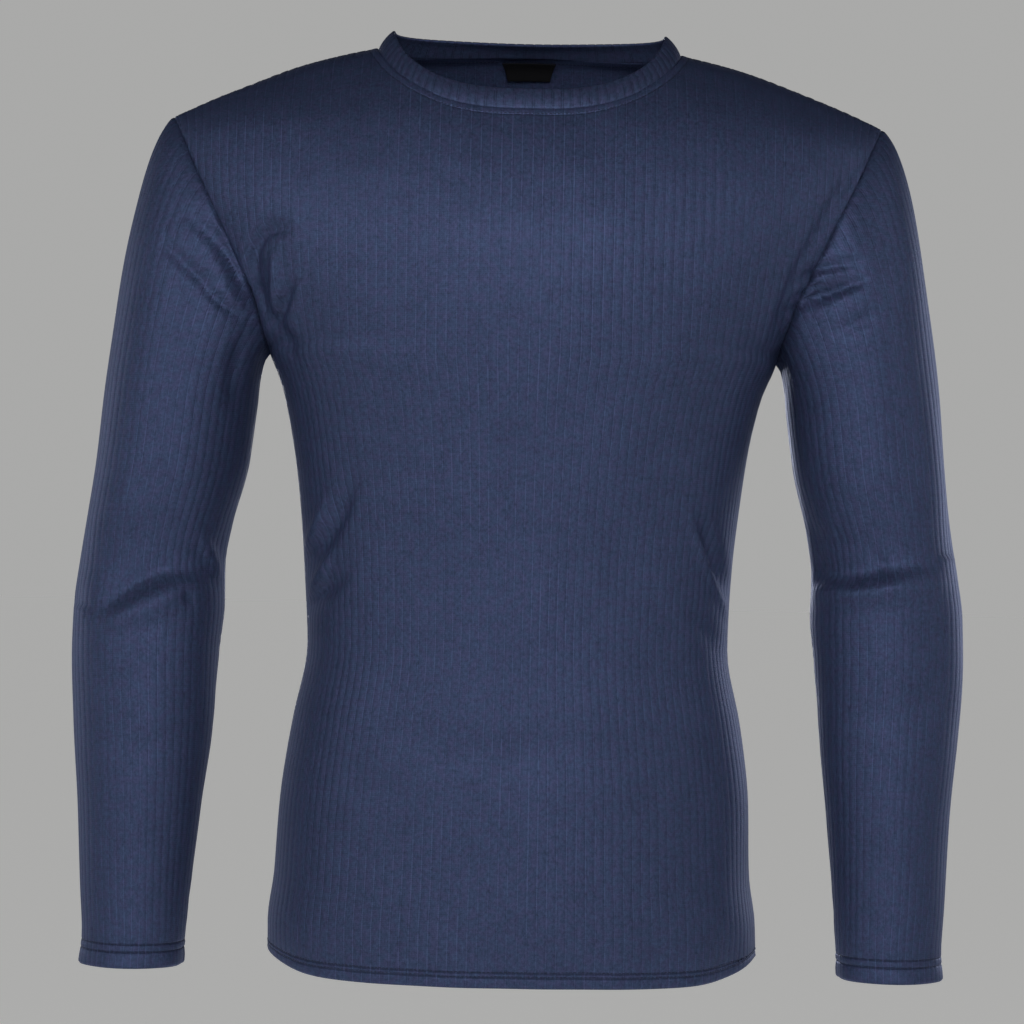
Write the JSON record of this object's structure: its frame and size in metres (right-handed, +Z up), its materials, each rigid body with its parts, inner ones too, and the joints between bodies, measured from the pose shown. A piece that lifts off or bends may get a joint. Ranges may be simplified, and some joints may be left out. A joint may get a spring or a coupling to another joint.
{
  "type": "long-sleeved thermal top",
  "caption": "Long-sleeved ribbed thermal top with a crew neck and stitched hems, hollow and filled out as if worn.",
  "frame": {"origin": "midway between the shoulders at the height of the neck seam's side points, where the wearer's shoulders carry the top", "axes": "+Z up along the body, +X to the wearer's left, -Y to the front"},
  "size_m": [0.6478, 0.2348, 0.684],
  "materials": {
    "rib_knit": "matt navy heathered rib knit with a soft sheen",
    "neck_rib": "matt navy double rib knit",
    "label_cloth": "plain black woven tape, bare"
  },
  "bodies": {
    "root": {"front": "rib_knit", "back": "rib_knit", "sleeve_left": "rib_knit", "sleeve_right": "rib_knit", "neckband": "neck_rib", "label": "label_cloth"}
  },
  "joints": []
}
